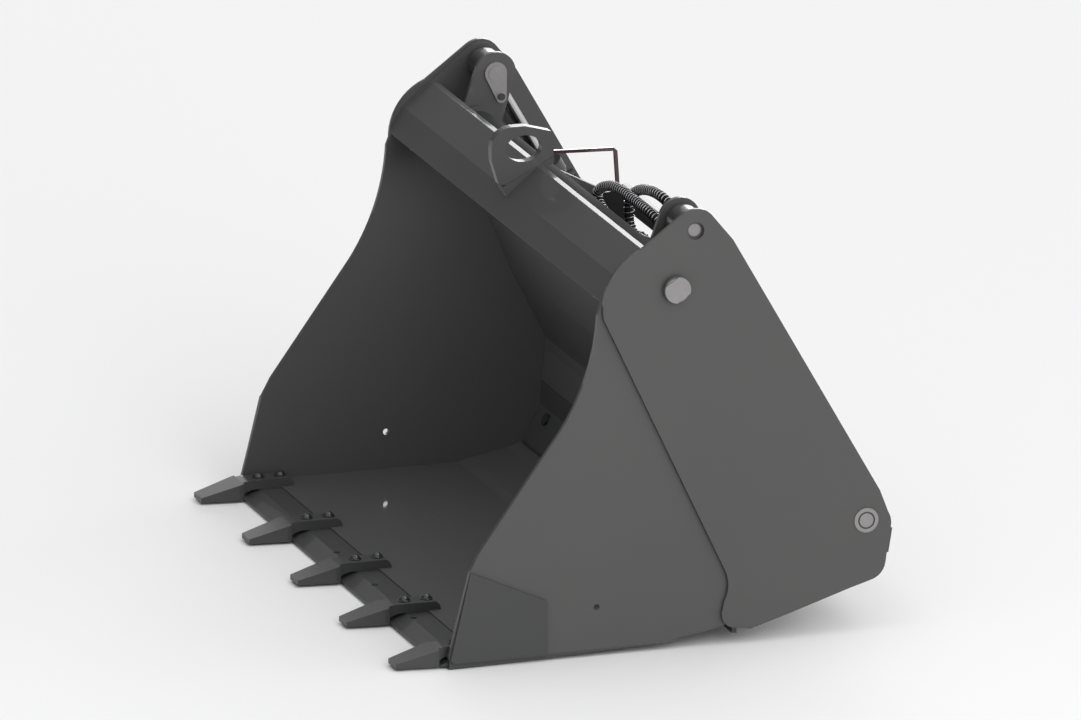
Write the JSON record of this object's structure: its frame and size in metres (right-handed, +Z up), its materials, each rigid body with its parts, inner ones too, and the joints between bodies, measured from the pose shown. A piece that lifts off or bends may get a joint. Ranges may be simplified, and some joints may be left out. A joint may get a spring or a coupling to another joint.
{
  "type": "four-in-one loader bucket",
  "caption": "Wide clamshell loader bucket: a toothed front jaw hinged on a rear half with moldboard, hitch brackets, side cylinders and hoses",
  "frame": {"origin": "Middle of the footprint on the ground, under the closed bucket", "axes": "+X across to the side nearest in the picture, +Y to the hitch side (the teeth point to -Y), +Z up"},
  "size_m": [1.684, 1.25, 1.104],
  "materials": {
    "paint": "charcoal satin paint, slightly glossy",
    "edge": "charcoal paint on wear steel, a little rougher",
    "fastener": "dark painted fasteners",
    "pin": "turned steel pins, dull",
    "hose": "black hose in a spiral guard",
    "marker": "dark red gloss paint",
    "cylinder": "black gloss paint",
    "chrome": "hard chrome rod"
  },
  "bodies": {
    "frame": {"cheek_left": "paint", "cheek_right": "paint", "inner_wall_left": "paint", "inner_wall_right": "paint", "moldboard": "paint", "rear_blade": "edge", "blade_bolts": "fastener", "belly_plate": "paint", "heel_bar": "edge", "rear_tie": "paint", "pivot_tube": "paint", "hitch_bracket_left": "paint", "hitch_bracket_right": "paint", "hitch_plate": "paint", "pivot_pin_left": "pin", "pivot_pin_right": "pin", "pivot_boss_left": "paint", "pivot_boss_right": "paint", "low_pin_left": "pin", "low_pin_right": "pin", "hose_shelves": "paint", "hose_fittings": "fastener", "hose_a": "hose", "hose_b": "hose"},
    "jaw": {"side_plate_left": "paint", "side_plate_right": "paint", "floor_plate": "paint", "cutting_edge": "edge", "tooth_set": "edge", "tooth_bolts": "fastener", "corner_wear_left": "edge", "corner_wear_right": "edge", "runners": "edge", "cross_beam": "paint", "beam_back": "paint", "ear_left": "paint", "ear_right": "paint", "lug": "paint", "lug_pad": "paint", "indicator_rod": "marker", "top_pin_left": "pin", "top_pin_right": "pin", "keeper_left": "pin", "keeper_right": "pin", "keeper_bolts": "fastener"},
    "barrel_left": {"barrel_left": "cylinder", "gland_left": "cylinder"},
    "barrel_right": {"barrel_right": "cylinder", "gland_right": "cylinder"},
    "rod_left": {"rod_left": "chrome", "rod_eye_left": "cylinder", "piston_left": "fastener"},
    "rod_right": {"rod_right": "chrome", "rod_eye_right": "cylinder", "piston_right": "fastener"}
  },
  "joints": [
    {"name": "jaw_hinge", "type": "hinge", "parent": "frame", "child": "jaw", "pos_m": [0, 0.071, 0.902], "axis": [-1, 0, 0], "range_deg": [0, 60]},
    {"name": "barrel_left_hinge", "type": "hinge", "parent": "frame", "child": "barrel_left", "pos_m": [0.7545, 0.555, 0.281], "axis": [-1, 0, 0], "range_deg": [0, 3.1]},
    {"name": "barrel_right_hinge", "type": "hinge", "parent": "frame", "child": "barrel_right", "pos_m": [-0.7545, 0.555, 0.281], "axis": [-1, 0, 0], "range_deg": [0, 3.1]},
    {"name": "rod_left_slide", "type": "slide", "parent": "barrel_left", "child": "rod_left", "axis": [0, 0.4959, -0.8684], "range_m": [0, 0.144]},
    {"name": "rod_right_slide", "type": "slide", "parent": "barrel_right", "child": "rod_right", "axis": [0, 0.4959, -0.8684], "range_m": [0, 0.144]}
  ],
  "couplings": [
    {"joint": "barrel_left_hinge", "follows": "jaw_hinge", "ratio": 0.051},
    {"joint": "barrel_right_hinge", "follows": "jaw_hinge", "ratio": 0.051},
    {"joint": "rod_left_slide", "follows": "jaw_hinge", "m_per_rad": 0.1365},
    {"joint": "rod_right_slide", "follows": "jaw_hinge", "m_per_rad": 0.1365}
  ]
}
